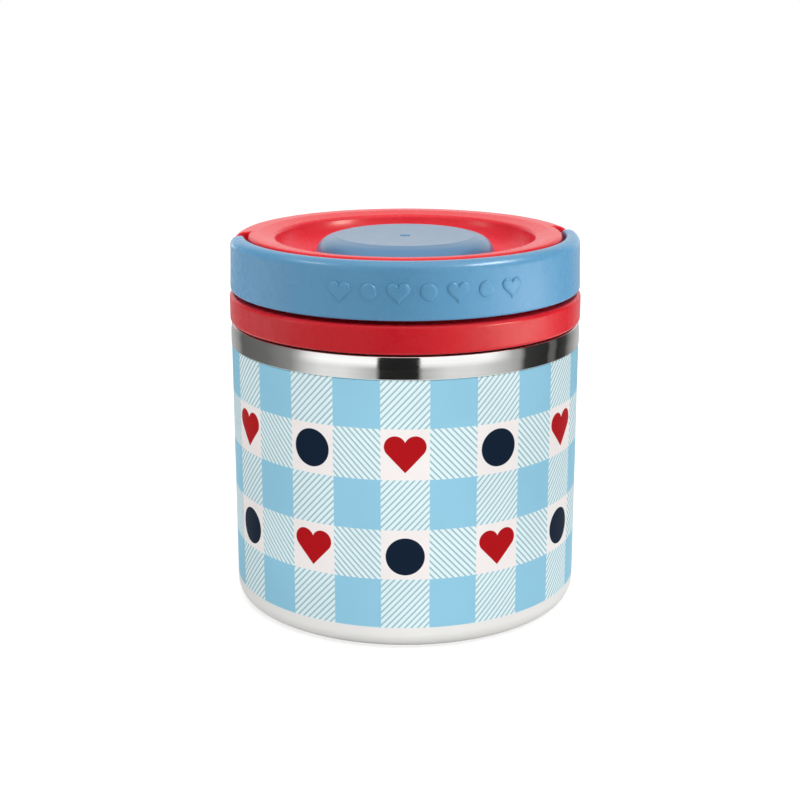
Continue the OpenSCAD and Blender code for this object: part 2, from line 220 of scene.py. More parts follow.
class VentSizes(PropertyGroup):
    """Sizes of the press button and its spring."""
    radius: length("Radius", corner("vent_button", 1, 0), "Radius of the button")
    low: length("Bottom", corner("vent_button", 0, 2), "Height of the button's lower edge")
    top: length("Top", corner("vent_button", 1, 2), "Height of the button's box")
    edge: length("Edge", 5.5, "Rounding from the button's side to its top")
    lip: length("Lip", 20.5, "Radius of the flat top")
    lip_drop: length("Lip drop", 0.16, "How far the flat top's edge lies below the box")
    hollow: length("Hollow", 0.3, "How far the flat top is hollowed")
    slant: angle("Slant", 14, "Slope of the ring round the flat top")
    dimple: length("Dimple", 1.6, "Radius of the mark in the middle")
    wall: length("Wall", 1.8, "Thickness of the button's side")
    roof: length("Roof", 2.1, "From the button's top to its underside")
    boss: length("Boss", 5.0, "Outer radius of the boss that holds the stem")
    boss_drop: length("Boss drop", 4.3, "From the button's top to the boss's lower end")
    stem: length("Stem", 2.5, "Radius of the stem's hole")
    stem_drop: length("Stem drop", 2.2, "From the button's top to the stem's end")
    wire: length("Wire", 0.5, "Radius of the spring's wire")
    coils: count("Coils", 5, "Turns of the spring")
    travel: length("Travel", 2.5, "How far the button goes down")


class Finishes(PropertyGroup):
    """Colours of the unprinted materials, and two lid reds that carry painted shade and painted light."""
    red: colour("Red", 240, 34, 48, "Lid")
    # Painted shade: the collar's red is darkened to stand in for the shade it lies in.
    red_painted_shade: colour("Deep red", 208, 26, 41, "Thick collar of the lid")
    # Painted light: the dish's red is lightened to stand in for more light falling into the dish.
    red_painted_light: colour("Pale red", 255, 60, 75, "Thin dish of the lid")
    blue: colour("Blue", 98, 160, 201, "Handle")
    button: colour("Button blue", 104, 159, 203, "Press button")
    steel: colour("Steel", 220, 220, 218, "Outer steel")
    bright: colour("Bright steel", 205, 206, 207, "Inner steel, foil, pins and spring")
    white: colour("White", 236, 236, 232, "Insert and stem")
    silicone: colour("Silicone", 225, 226, 222, "Gasket and vent seal")
    foam: colour("Foam", 238, 233, 214, "Insulation")
    braze: colour("Braze", 96, 98, 102, "Sealing bead and getter")


class StageLook(PropertyGroup):
    """Camera and light."""
    lens: number("Lens", 69.87, "Focal length", unit="CAMERA")
    distance: length("Distance", 475.9, "From the camera to the point it looks at")
    rise: angle("Rise", 15.3, "How steeply the camera looks down")
    aim: length("Aim", 59.3, "Height on the jar's axis that the camera looks at")
    shift: number("Shift", -0.0065, "Sideways shift of the frame")
    ambient: number("Ambient", 0.3, "Even light from all round")
    floor_glow: share("Floor glow", 0.62, "How far the floor is lifted to white where it is seen")
    overhead: number("Overhead", 1.3, "Strength of the broad light from above")
    key: power("Key", 0.3, "Soft light in front")
    right: power("Right", 0.52, "Low light at the right")
    sheen: power("Sheen", 0.5, "Low strip at the right that only gloss shows")
    left: power("Left", 0.66, "Low strip at the left")
    high_right: power("High right", 8.0, "Lamp high at the right that only gloss shows")
    high_left: power("High left", 1.8, "Lamp high at the left that only gloss shows")
    streak_right: power("Right streak", 5.0, "Lamp that draws the streak in the dish")
    streak_left: power("Left streak", 5 / 6, "Lamp that draws the fainter streak at the left")
    dish: power("Dish", 1.35, "Soft light from the left into the dish")
    brow: power("Brow", 0.85, "Soft light on the far side of the dish")
    front: power("Front", 3.9, "Each of the two soft lights on the print")
    back: power("Back", 0.7, "Soft light behind")


class JarSettings(PropertyGroup):
    """All settings of the lunch jar."""
    jar: PointerProperty(type=JarSizes)
    print: PointerProperty(type=PrintLook)
    lid: PointerProperty(type=LidSizes)
    handle: PointerProperty(type=HandleSizes)
    vent: PointerProperty(type=VentSizes)
    finish: PointerProperty(type=Finishes)
    stage: PointerProperty(type=StageLook)


# Node helpers

class Signal:
    """A node's output, which plus, minus, times and divide carry on into math nodes."""

    def __init__(self, wiring, socket):
        self.wiring, self.socket = wiring, socket

    def __add__(self, other):
        return self.wiring.math("ADD", self, other)

    def __sub__(self, other):
        return self.wiring.math("SUBTRACT", self, other)

    def __rsub__(self, other):
        return self.wiring.math("SUBTRACT", other, self)

    def __mul__(self, other):
        return self.wiring.math("MULTIPLY", self, other)

    def __truediv__(self, other):
        return self.wiring.math("DIVIDE", self, other)

    def __rtruediv__(self, other):
        return self.wiring.math("DIVIDE", other, self)


class Wiring:
    """Short calls that add nodes to one tree and join their sockets."""

    def __init__(self, tree):
        self.tree = tree

    def node(self, kind, *values, **settings):
        """A new node with its settings, and with values for its first inputs."""
        made = self.tree.nodes.new(kind)
        for key, value in settings.items():
            setattr(made, key, value)
        for socket, value in zip(made.inputs, values):
            self.feed(socket, value)
        return made

    def feed(self, socket, value):
        if isinstance(value, Signal):
            self.tree.links.new(value.socket, socket)
        else:
            socket.default_value = value

    def fill(self, made, **values):
        """Feeds a node's inputs by name."""
        for key, value in values.items():
            self.feed(made.inputs[key.replace("_", " ")], value)
        return made

    def out(self, made, key=0):
        return Signal(self, made.outputs[key])

    def taps(self, made):
        """All outputs of a node by name."""
        return {socket.name: Signal(self, socket) for socket in made.outputs}

    def group(self, tree, **values):
        """The outputs of a group node that has its own values."""
        return self.taps(self.fill(self.node("ShaderNodeGroup", node_tree=tree), **values))

    def math(self, operation, *values, clamp=False):
        return self.out(self.node("ShaderNodeMath", *values, operation=operation, use_clamp=clamp))

    def hypot(self, x, y):
        return self.math("SQRT", x * x + y * y)

    def span(self, value, low, high, start=0.0, end=1.0):
        """A smooth step between two values."""
        return self.out(self.node(
            "ShaderNodeMapRange", value, low, high, start, end, interpolation_type="SMOOTHSTEP"))

    def mix(self, part, first, second):
        """A blend of two colours."""
        made = self.node("ShaderNodeMix", part, data_type="RGBA")
        for socket, tint in zip(made.inputs[6:8], (first, second)):
            self.feed(socket, tint if isinstance(tint, Signal) else (*tint, 1))
        return self.out(made, 2)

    def place(self):
        return self.out(self.node("ShaderNodeTexCoord"), "Object")

    def split(self, vector):
        made = self.node("ShaderNodeSeparateXYZ", vector)
        return [self.out(made, axis) for axis in range(3)]

    def join(self, x, y, z):
        return self.out(self.node("ShaderNodeCombineXYZ", x, y, z))

    def noise(self, vector, scale, detail=2.0, roughness=0.5):
        return self.out(self.fill(
            self.node("ShaderNodeTexNoise"), Vector=vector, Scale=scale, Detail=detail, Roughness=roughness))


class Paint(Wiring):
    """The wiring of a new material, with its shader."""

    def __init__(self, name):
        self.material = bpy.data.materials.new(name)
        self.material.use_nodes = True
        super().__init__(self.material.node_tree)
        self.shader = next(n for n in self.tree.nodes if n.type == "BSDF_PRINCIPLED")

    def look(self, height=None, depth=0.0, **values):
        """Feeds the shader's inputs and its bump, and hands over the material."""
        if height is not None:
            bump = self.fill(self.node("ShaderNodeBump"), Strength=1.0, Distance=depth, Height=height)
            values["Normal"] = self.out(bump)
        self.fill(self.shader, **values)
        return self.material


def shader_group(name, inputs, outputs, build):
    """A shader node group with named sockets, built once."""
    if name in bpy.data.node_groups:
        return bpy.data.node_groups[name]
    tree = bpy.data.node_groups.new(name, "ShaderNodeTree")
    for label, default in inputs.items():
        socket = tree.interface.new_socket(name=label, in_out="INPUT", socket_type="NodeSocketFloat")
        socket.default_value = default
    for label in outputs:
        tree.interface.new_socket(name=label, in_out="OUTPUT", socket_type="NodeSocketFloat")
    w = Wiring(tree)
    ends = build(w, w.taps(w.node("NodeGroupInput")))
    w.fill(w.node("NodeGroupOutput"), **dict(zip(outputs, ends)))
    return tree


def moulded_skin():
    """Fine spark-eroded grain, slow flow shading and satin patches of moulded plastic or lacquer."""
    def build(w, given):
        place = w.place()
        grain = w.noise(place, given["Grain"], 3.0, 0.6)
        flow = w.noise(place, given["Flow"], 3.0, 0.55)
        patch = w.noise(place, given["Flow"] * 5.0)
        return w.span(flow, 0.3, 0.7), patch * 0.7 + grain * 0.3, grain
    return shader_group("Moulded skin", {"Grain": 3000.0, "Flow": 45.0}, ("Tone", "Satin", "Height"), build)


def handling_marks():
    """Sparse hairline rubs that handling leaves, as a mask."""
    def build(w, given):
        place = w.place()
        rubs = []
        for tilt, stretch in ((0.5, (1, 1, 14)), (-0.8, (16, 1, 1)), (1.9, (1, 12, 1.5))):
            turned = w.fill(w.node("ShaderNodeMapping"), Vector=place, Scale=stretch,
                            Rotation=(tilt, tilt * 0.6, tilt * 1.7))
            line = w.noise(w.out(turned), given["Scale"], 1.0, 0.4)
            rubs.append(w.span(w.math("ABSOLUTE", line - 0.5), 0.0, 0.012, 1.0, 0.0))
        worn = w.span(w.noise(place, 70.0), 0.52, 0.7)
        return (w.math("MAXIMUM", w.math("MAXIMUM", rubs[0], rubs[1]), rubs[2]) * worn,)
    return shader_group("Handling marks", {"Scale": 60.0}, ("Marks",), build)


def turned_lines():
    """Fine lines round the axis that polishing on a lathe leaves, as a height and a streak mask."""
    def build(w, given):
        x, y, z = w.split(w.place())
        across = (z + w.hypot(x, y)) * given["Density"]
        round_x, round_y = x * given["Length"], y * given["Length"]
        fine = w.noise(w.join(round_x, round_y, across), 1.0, 3.0, 0.6)
        coarse = w.noise(w.join(round_x, round_y, across * 0.22), 1.0)
        return fine, w.span(coarse, 0.35, 0.68)
    return shader_group("Turned lines", {"Density": 5000.0, "Length": 40.0}, ("Height", "Streaks"), build)


# Materials

def times(tint, factor):
    """A colour times a number."""
    return tuple(value * factor for value in tint)


def plastic(name, tint, rough, gloss=0.3, coat=0.0, painted_shade_and_light_zones=None, gleam=(1.0, 1.0, 1.0)):
    """Satin moulded plastic. If zones are given, painted shade deepens its colour below a height and painted light
    makes it paler within a radius.
    """
    w = Paint(name)
    skin = w.group(moulded_skin(), Grain=3200.0, Flow=42.0)
    marks = w.group(handling_marks(), Scale=70.0)["Marks"]
    tone = w.mix(skin["Tone"], times(tint, 0.985), times(tint, 1.015))
    if painted_shade_and_light_zones:
        (deep, ledge), (painted_light_tint, edge) = painted_shade_and_light_zones
        x, y, z = w.split(w.place())
        # Painted shade: a deeper colour below the given height, where the collar lies.
        tone = w.mix(w.span(z, ledge, ledge + 0.6 * MM), deep, tone)
        # Painted light: a paler colour within the given radius, inside the dish.
        tone = w.mix(w.span(w.hypot(x, y), edge, edge + 0.8 * MM), painted_light_tint, tone)
    satin = w.span(skin["Satin"], 0.3, 0.7, rough - 0.02, rough + 0.02)
    coated = {"Coat_Weight": coat, "Coat_Roughness": 0.25} if coat else {}
    return w.look(
        skin["Height"], 0.0015 * MM, Base_Color=w.mix(marks * 0.02, tone, times(tint, 1.3)),
        Roughness=marks * 0.02 + satin, IOR=1.47, Specular_IOR_Level=gloss, Specular_Tint=(*gleam, 1), **coated)


def steel(name, tint, rough, density=5000.0, depth=0.004 * MM, reach=40.0, vary=0.08):
    """Steel polished on a lathe."""
    w = Paint(name)
    lines = w.group(turned_lines(), Density=density, Length=reach)
    marks = w.group(handling_marks(), Scale=55.0)["Marks"]
    streaked = w.span(lines["Streaks"], 0.0, 1.0, rough * 1.2, rough * 0.8)
    return w.look(
        lines["Height"], depth, Metallic=1.0, Roughness=marks * vary + streaked,
        Base_Color=w.mix(lines["Streaks"], times(tint, 1 - vary), times(tint, 1 + vary)))


def soft_rubber(name, tint, rough):
    """Moulded silicone with a dusty bloom."""
    w = Paint(name)
    skin = w.group(moulded_skin(), Grain=1800.0, Flow=90.0)
    return w.look(
        skin["Height"], 0.01 * MM, Base_Color=w.mix(skin["Tone"], times(tint, 0.92), times(tint, 1.04)),
        Roughness=w.span(skin["Satin"], 0.3, 0.7, rough - 0.08, rough + 0.08),
        Subsurface_Weight=0.15, Subsurface_Radius=(2 * MM, 2 * MM, 1.8 * MM))


def cellular_foam(name, tint):
    """Cut foam with open cells."""
    w = Paint(name)
    cells = w.fill(w.node("ShaderNodeTexVoronoi", feature="DISTANCE_TO_EDGE"), Vector=w.place(), Scale=900.0)
    wall = w.span(w.out(cells, "Distance"), 0.02, 0.2)
    return w.look(wall, 0.2 * MM, Base_Color=w.mix(wall, times(tint, 0.8), tint),
                  Roughness=w.span(wall, 0.0, 1.0, 0.95, 0.8))


def cast_metal(name, tint, metallic, rough):
    """Dull cast or brazed metal."""
    w = Paint(name)
    lumps = w.noise(w.place(), 700.0, 4.0, 0.6)
    return w.look(
        lumps, 0.08 * MM, Base_Color=w.mix(w.span(lumps, 0.35, 0.65), times(tint, 0.75), times(tint, 1.2)),
        Roughness=w.span(lumps, 0.3, 0.7, rough - 0.1, rough + 0.1), Metallic=metallic)


def wrinkled_foil(name, tint):
    """Thin foil with crinkles."""
    w = Paint(name)
    folds = w.fill(w.node("ShaderNodeTexVoronoi", feature="F1"), Vector=w.place(), Scale=160.0)
    crease = w.noise(w.place(), 320.0, 4.0, 0.65)
    return w.look(
        w.out(folds, "Distance") + crease * 0.6, 0.4 * MM, Metallic=1.0,
        Base_Color=w.mix(w.span(crease, 0.3, 0.7), times(tint, 0.88), tint),
        Roughness=w.span(crease, 0.3, 0.7, 0.12, 0.3))


def printed_lacquer(name, look, sizes):
    """White lacquer with a printed check, hatched where one stripe crosses bare ground, and hearts and dots."""
    w = Paint(name)
    x, y, z = w.split(w.place())
    column_width = 2 * math.pi * sizes.coat_radius / look.columns
    column = w.math("ARCTAN2", x, y * -1.0) * (look.columns / (2 * math.pi))
    row = (z - look.first_row) / look.row_height

    def inked(distance):
        """1 inside a printed edge and 0 outside it."""
        return w.span(distance, -look.soft, look.soft, 1.0, 0.0)

    def off_middle(value):
        """How far a repeating value lies from the middle of its unit."""
        return w.math("ABSOLUTE", w.math("FRACT", value) - 0.5)

    def stripe(value, start, unit):
        """1 inside every second unit of a value."""
        return inked((off_middle((value + start) * 0.5) - 0.25) * (2 * unit))

    def hatch(sign):
        """Slanting lines across a cell."""
        limit = look.hatch_share / 2
        off = off_middle(column * look.hatch_lines + z * (sign / look.hatch_rise))
        return w.span(off, limit - 0.05, limit + 0.05, 1.0, 0.0)

    blue_column, blue_row = stripe(column, 0.0, column_width), stripe(row, 0.5, look.row_height)
    only_row, only_column = blue_row * (1.0 - blue_column), blue_column * (1.0 - blue_row)
    both = blue_column * blue_row
    paint = w.mix(only_row + only_column, look.cream, look.frost)
    paint = w.mix(only_row * hatch(-1) + only_column * hatch(1), paint, look.hatch)
    paint = w.mix(both, paint, look.sky)

    pair = w.math("ROUND", column * 0.5)
    side = (pair * -2.0 + column) * column_width
    odd = w.math("ROUND", w.math("FRACT", (pair + 0.01) * 0.5) * 2.0 - 0.01)
    even = 1.0 - odd
    out = w.math("ABSOLUTE", side) - look.heart_reach
    lean, level = math.sin(look.heart_tip), math.cos(look.heart_tip)

    def heart(top):
        """Distance from a heart's edge, less than 0 inside."""
        up = z - (top - look.heart_lobe)
        ball = w.hypot(out, up) - look.heart_lobe
        flank = out * level + (up * -lean - look.heart_lobe)
        wedge = w.math("MAXIMUM", flank, w.math("MAXIMUM", up, out * lean + up * level))
        return w.math("MINIMUM", ball, wedge)

    def dot(middle):
        """Distance from a dot's edge, less than 0 inside."""
        return w.hypot(side, z - middle) - look.dot_radius

    hearts = even * inked(heart(look.heart_high)) + odd * inked(heart(look.heart_low))
    dots = odd * inked(dot(look.dot_high)) + even * inked(dot(look.dot_low))
    paint = w.mix(dots, w.mix(hearts, paint, look.heart), look.navy)
    paint = w.mix(w.span(z, look.first_row - look.soft, look.first_row + look.soft), look.ground, paint)

    skin = w.group(moulded_skin(), Grain=1500.0, Flow=30.0)
    marks = w.group(handling_marks(), Scale=50.0)["Marks"]
    toned = w.fill(w.node("ShaderNodeVectorMath", operation="SCALE"), Vector=paint,
                   Scale=w.span(skin["Tone"], 0.0, 1.0, 0.97, 1.02))
    inks = w.math("MAXIMUM", both, w.math("MAXIMUM", hearts, dots))
    satin = inks * -0.03 + w.span(skin["Satin"], 0.3, 0.7, 0.36, 0.44)
    return w.look(
        inks * 0.5 + skin["Height"] * 0.6, 0.006 * MM, Base_Color=w.out(toned, "Vector"),
        Roughness=marks * 0.1 + satin, IOR=1.45, Specular_IOR_Level=0.01)


# Mesh helpers

def arc(x, z, radius, first, last, steps):
    """Points on a circle, from one angle in degrees to another."""
    turns = [math.radians(first + (last - first) * k / steps) for k in range(steps + 1)]
    return [(x + radius * math.cos(a), z + radius * math.sin(a)) for a in turns]


def rounded(corners, closed=True, segments=7, hold=0.12 * MM):
    """Points along a path of (x, z, rounding) corners, with a close point on both sides of each rounding."""
    total = len(corners)
    plan = []
    for i, (x, z, radius) in enumerate(corners):
        here = Vector((x, z))
        if radius <= 0 or (not closed and i in (0, total - 1)):
            plan.append((here, None, None, 0.0, None))
            continue
        back = (Vector(corners[i - 1][:2]) - here).normalized()
        ahead = (Vector(corners[(i + 1) % total][:2]) - here).normalized()
        half = back.angle(ahead) / 2
        middle = here + (back + ahead).normalized() * (radius / math.sin(half))
        plan.append((here, back, ahead, radius / math.tan(half), middle))
    points = []
    for i, (here, back, ahead, reach, middle) in enumerate(plan):
        if middle is None:
            points.append(tuple(here))
            continue
        start, end = here + back * reach - middle, here + ahead * reach - middle
        first, last = math.atan2(start.y, start.x), math.atan2(end.y, end.x)
        sweep = (last - first + math.pi) % (2 * math.pi) - math.pi
        before, after = plan[i - 1], plan[(i + 1) % total]
        if (before[0] - here).length - before[3] - reach > 3 * hold:
            points.append(tuple(middle + start + back * hold))
        steps = max(3, math.ceil(abs(sweep) / (math.pi / 2) * segments))
        points += arc(*middle, start.length, math.degrees(first), math.degrees(first + sweep), steps)
        if (after[0] - here).length - after[3] - reach > 3 * hold:
            points.append(tuple(middle + end + ahead * hold))
    return points


def strips(rows, wrap=True):
    """Faces between each row of points and the next."""
    faces = []
    for low, high in zip(rows, rows[1:]):
        for k in range(len(low) if wrap else len(low) - 1):
            j = (k + 1) % len(low)
            faces.append(tuple(dict.fromkeys((low[k], low[j], high[j], high[k]))))
    return faces


def link(name, data):
    """A new object at the origin."""
    piece = bpy.data.objects.new(name, data)
    bpy.context.scene.collection.objects.link(piece)
    return piece


def closed_piece(name, points, faces, smooth=40, turn=0.0, soft=()):
    """A piece with its faces outwards, smooth but for its sharp edges. Soft rows of points get a bevel weight."""
    mesh = bpy.data.meshes.new(name)
    mesh.from_pydata(points, [], faces)
    work = bmesh.new()
    work.from_mesh(mesh)
    if soft:
        weight = work.edges.layers.float.new("bevel_weight_edge")
        work.verts.ensure_lookup_table()
        for row in soft:
            for one, two in zip(row, row[1:]):
                edge = work.edges.get((work.verts[one], work.verts[two]))
                if edge is not None:
                    edge[weight] = 1.0
    else:
        bmesh.ops.remove_doubles(work, verts=work.verts, dist=1e-7)
        bmesh.ops.dissolve_degenerate(work, edges=work.edges, dist=1e-8)
    bmesh.ops.recalc_face_normals(work, faces=work.faces)
    bmesh.ops.rotate(work, verts=work.verts, cent=(0, 0, 0), matrix=Matrix.Rotation(turn, 3, "Z"))
    work.to_mesh(mesh)
    work.free()
    mesh.shade_smooth()
    mesh.set_sharp_from_angle(angle=math.radians(smooth))
    return link(name, mesh)


def lathe(name, path, closed=True, steps=192):
    """A profile turned round Z. An open path starts and ends on the axis."""
    points, rings = [], []
    for r, z in path:
        first = len(points)
        if r < 1e-7:
            rings.append([first] * steps)
            points.append((0, 0, z))
        else:
            rings.append(range(first, first + steps))
            points += [(x, y, z) for x, y in arc(0, 0, r, 0, 360, steps)[:-1]]
    return closed_piece(name, points, strips(rings + rings[:1] if closed else rings))


def settled(piece):
    """Turns a piece's modifiers into plain mesh."""
    depsgraph = bpy.context.evaluated_depsgraph_get()
    mesh = bpy.data.meshes.new_from_object(
        piece.evaluated_get(depsgraph), preserve_all_data_layers=True, depsgraph=depsgraph)
    piece.modifiers.clear()
    piece.data = mesh
    mesh.name = piece.name
    return piece


def grown(name, tree, values):
    """A piece made by a node tree, as a plain mesh."""
    piece = link(name, bpy.data.meshes.new(name))
    maker = piece.modifiers.new("maker", "NODES")
    maker.node_group = tree
    for item in tree.interface.items_tree:
        if item.in_out == "INPUT" and item.name in values:
            maker[item.identifier] = values[item.name]
    return settled(piece)


def finish_piece(piece, material, body, slot, *nodes):
    """Gives a piece its material and its body, and hides the nodes that it stands for. The slot is not used."""
    if material.name not in piece.data.materials:
        piece.data.materials.clear()
        piece.data.materials.append(material)
    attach(piece, body)
    if nodes:
        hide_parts(*nodes)


def dress(material, *nodes):
    """Gives CAD nodes a material."""
    for node in nodes:
        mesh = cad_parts[node].data
        mesh.materials.clear()
        mesh.materials.append(material)


# Node trees that make geometry

def geometry_tree(name, floats, counts):
    """A geometry node tree with named inputs, its wiring and its inputs by name."""
    tree = bpy.data.node_groups.new(name, "GeometryNodeTree")
    kinds = dict.fromkeys(floats, "Float") | dict.fromkeys(counts, "Int") | {"Material": "Material"}
    for label, kind in kinds.items():
        tree.interface.new_socket(name=label, in_out="INPUT", socket_type="NodeSocket" + kind)
    tree.interface.new_socket(name="Geometry", in_out="OUTPUT", socket_type="NodeSocketGeometry")
    w = Wiring(tree)
    return tree, w, w.taps(w.node("NodeGroupInput"))


def finish_tree(w, geometry, material):
    """Ends a tree in realized, smooth, coloured mesh."""
    real = w.node("GeometryNodeRealizeInstances", geometry)
    smooth = w.node("GeometryNodeSetShadeSmooth", w.out(real))
    paint = w.fill(w.node("GeometryNodeSetMaterial"), Geometry=w.out(smooth), Material=material)
    w.node("NodeGroupOutput", w.out(paint))


def spot(w):
    """The three coordinates of each point."""
    return w.split(w.out(w.node("GeometryNodeInputPosition")))


def moved(w, geometry, x, y, z):
    """Geometry with every point set to a new place."""
    return w.out(w.fill(w.node("GeometryNodeSetPosition"), Geometry=geometry, Position=w.join(x, y, z)))


def thread_tree():
    """Rounded helical rods, one for each start of a thread or spring."""
    if "Helical rods" in bpy.data.node_groups:
        return bpy.data.node_groups["Helical rods"]
    tree, w, given = geometry_tree(
        "Helical rods", ("Radius", "Depth", "Half height", "Low", "Rise", "Turn"), ("Starts",))
    rod = w.fill(w.node("GeometryNodeMeshCylinder", fill_type="NGON"),
                 Vertices=14, Side_Segments=90, Radius=1.0, Depth=1.0)
    x, y, z = spot(w)
    along = z + 0.5
    ends = w.math("MINIMUM", along, 1.0 - along) * 12.0
    taper = w.math("SQRT", w.math("MINIMUM", ends + 0.02, 1.0))
    radius = given["Radius"] + x * given["Depth"] * taper
    height = y * given["Half height"] * taper + (along * given["Rise"] + given["Low"])
    turn = along * given["Turn"]
    ridge = moved(w, w.out(rod, "Mesh"), radius * w.math("COSINE", turn), radius * w.math("SINE", turn), height)
    outward = w.fill(w.node("GeometryNodeFlipFaces"), Mesh=ridge)
    marks = w.fill(w.node("GeometryNodePoints"), Count=given["Starts"])
    index = w.out(w.node("GeometryNodeInputIndex"))
    spread = w.fill(w.node("GeometryNodeInstanceOnPoints"), Points=w.out(marks), Instance=w.out(outward),
                    Rotation=w.join(0.0, 0.0, index * (2 * math.pi / given["Starts"])))
    finish_tree(w, w.out(spread), given["Material"])
    return tree


def motif_tree():
    """Raised hearts and dots in turn, in a row that follows a round face."""
    tree, w, given = geometry_tree(
        "Raised motifs", ("Step", "Face", "Height", "Size", "Rise", "Turn"), ("Count",))

    def stamp(heart):
        """A low drafted block with a heart's or a dot's outline, sunk a little below the face."""
        block = w.fill(w.node("GeometryNodeMeshCylinder", fill_type="TRIANGLE_FAN"),
                       Vertices=48, Side_Segments=5, Fill_Segments=3, Radius=1.0, Depth=1.0)
        x, y, z = spot(w)
        t = w.math("ARCTAN2", x, y)
        sine, cosine, up = w.math("SINE", t), w.math("COSINE", t), z + 0.5
        draft = 1.0 - w.math("POWER", up, 4.0) * 0.13
        if heart:
            across, high = sine * (sine * sine) * 0.5, cosine * (13 / 32)
            for wave, part in ((2, 5), (3, 2), (4, 1)):
                high = w.math("COSINE", t * wave) * (-part / 32) + high
        else:
            across, high = sine * 0.36, cosine * 0.36
        scale = given["Size"] * draft * w.hypot(x, y)
        lift = given["Rise"] * (up * 1.6 - 0.6)
        return moved(w, w.out(block, "Mesh"), across * scale, high * scale, lift)

    both = w.node("GeometryNodeGeometryToInstance", stamp(False))
    w.feed(both.inputs[0], stamp(True))
    index = w.out(w.node("GeometryNodeInputIndex"))
    pace = given["Step"] * given["Face"]
    along = (index - (given["Count"] - 1.0) * 0.5) * pace
    marks = w.fill(w.node("GeometryNodePoints"), Count=given["Count"], Position=w.join(along, 0.0, 0.0))
    spread = w.fill(w.node("GeometryNodeInstanceOnPoints"), Points=w.out(marks), Instance=w.out(both),
                    Pick_Instance=True, Instance_Index=w.math("MODULO", index, 2.0))
    real = w.node("GeometryNodeRealizeInstances", w.out(spread))
    x, y, z = spot(w)
    around, radius = x / given["Face"] + given["Turn"], given["Face"] + z
    bent = moved(w, w.out(real), radius * w.math("SINE", around), radius * -1.0 * w.math("COSINE", around),
                 y + given["Height"])
    finish_tree(w, bent, given["Material"])
    return tree


# Pieces with a shape of their own

def lid_piece(name, s):
    """The lid in one closed mesh: a turned body whose outer wall steps out behind the stop plane."""
    front_columns, back_columns, hub = 132, 84, 36 * MM
    columns = front_columns + back_columns
    top, ledge, collar, core, back = s.top, s.ledge, s.collar_radius, s.core_radius, s.back_radius
    floor, wall, soft, nose, slope, fall = s.dish_floor, s.wall, s.collar_round, s.nose, s.dish_slope, s.rim_fall
    reach = back - collar + soft
    meet = ledge - soft + math.sqrt(soft ** 2 - reach ** 2)
    rise = math.degrees(math.atan2(meet - ledge + soft, reach))

    brow = core - s.brow
    rim_x, rim_z = s.dish_radius + nose, top - s.rim_drop - nose * math.cos(fall)
    spread = (math.pi / 2 - slope - fall) / 2
    lean, arm = math.pi / 2 + fall + spread, nose / math.cos(spread)
    edge_x, edge_z = rim_x + arm * math.cos(lean), rim_z + arm * math.sin(lean)
    flat_x = rim_x - nose * math.sin(fall) + s.rim_drop / math.tan(fall)
    wall_foot = edge_x - math.tan(slope) * (edge_z - floor)
    roof, low, well, foot = top - s.roof, s.well_floor - wall, s.well_radius + wall, wall_foot + wall
    inside = rounded([
        (brow, top, 0), (flat_x, top, s.rim_round), (edge_x, edge_z, nose), (wall_foot, floor, s.dish_fillet),
        (s.well_radius, floor, 0.4 * MM), (s.well_radius, s.well_floor, 0.5 * MM),
        (s.guide_radius, s.well_floor, 0.4 * MM), (s.guide_radius, s.guide_top, 0.3 * MM),
        (s.stem_bore, s.guide_top, 0.2 * MM), (s.stem_bore, low, 0)], closed=False)
    under = rounded([
        (s.stem_bore, low, 0), (well, low, 0), (well, floor - wall, 0), (foot, floor - wall, s.dish_under),
        (foot + math.tan(slope) * (roof - floor + wall), roof, 0), (core - s.core_wall, roof, 0),
        (core - s.core_wall, ledge - s.roof, 0), (s.collar_bore, ledge - s.roof, 0),
        (s.collar_bore, s.collar_low, 0)], closed=False)[1:]
    edge = arc(collar - soft, ledge - soft, soft, rise, 0, 6)
    skirt = rounded([(*edge[-1], 0), (collar, s.collar_low, 0.8 * MM), (s.collar_bore, s.collar_low, 0)],
                    closed=False)[1:-1]
    front = rounded([(brow - 1 * MM, top, 0), (core, top, s.brow), (core, ledge, 0.3 * MM),
                     (collar - soft, ledge, 0)], closed=False)[1:]
    front = [p for p in front if p[0] > brow + 1e-6] + arc(collar - soft, ledge - soft, soft, 90, rise, 3)[1:3]
    behind = arc(back - s.back_round, top - s.back_round, s.back_round, 90, 0, 10)
    behind += [(back, top - s.back_round - 0.3 * MM), (back, meet + 0.3 * MM)]
    points = []

    def ring(r, z, chosen):
        """A row of points round the axis. Outside the hub, its two columns where the walls part lie on the stop."""
        half = math.pi / 2 + math.asin(s.stop / max(r, hub))
        first = len(points)
        for k in chosen:
            if k <= front_columns:
                a = -half + 2 * half * k / front_columns
            else:
                a = half + 2 * (math.pi - half) * (k - front_columns) / back_columns
            points.append((r * math.sin(a), -r * math.cos(a), z))
        return list(range(first, len(points)))

    rings = [ring(r, z, range(columns)) for r, z in inside + under + skirt[::-1] + edge[::-1]]
    faces = strips(rings)

    def sector(path, chosen):
        """Rows from the rim down to the collar, over some of the columns."""
        rows = [[rings[0][k % columns] for k in chosen]]
        rows += [ring(r, z, chosen) for r, z in path]
        rows.append([rings[-1][k % columns] for k in chosen])
        faces.extend(strips(rows, wrap=False))
        return rows

    outer = sector(front, range(front_columns + 1))
    rear = sector(behind, range(front_columns, columns + 1))
    for end in (0, -1):
        faces.append([row[end] for row in outer] + [row[-1 - end] for row in rear[-2:0:-1]])
    return closed_piece(name, points, faces, 38, s.turn, [[row[end] for row in rear[1:]] for end in (-1, 0)])


